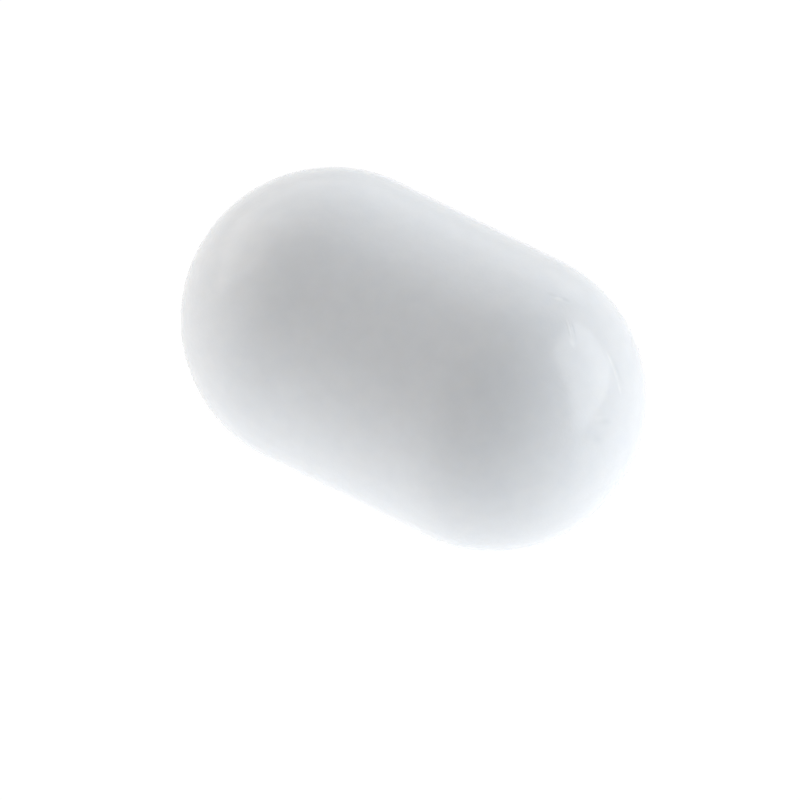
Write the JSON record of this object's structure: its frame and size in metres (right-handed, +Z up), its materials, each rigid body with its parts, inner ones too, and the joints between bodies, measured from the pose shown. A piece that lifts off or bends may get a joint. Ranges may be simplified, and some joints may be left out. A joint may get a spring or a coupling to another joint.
{
  "type": "magnetic stir bar",
  "caption": "Plain magnetic stir bar: a short round bar with half-ball ends, a bar magnet sealed in a smooth white PTFE jacket, spun by a magnetic stirrer to mix liquids.",
  "frame": {"origin": "centre of the bar, on its long axis, midway between its two round ends", "axes": "+X along the bar's length, the magnet's long axis; the bar lies on its side, and +Z is up and is the axis that it spins about in use"},
  "size_m": [0.013, 0.008, 0.008],
  "materials": {
    "ptfe_jacket": "satin",
    "alnico_magnet": "satin"
  },
  "bodies": {
    "root": {"jacket": "ptfe_jacket", "magnet": "alnico_magnet"}
  },
  "joints": []
}
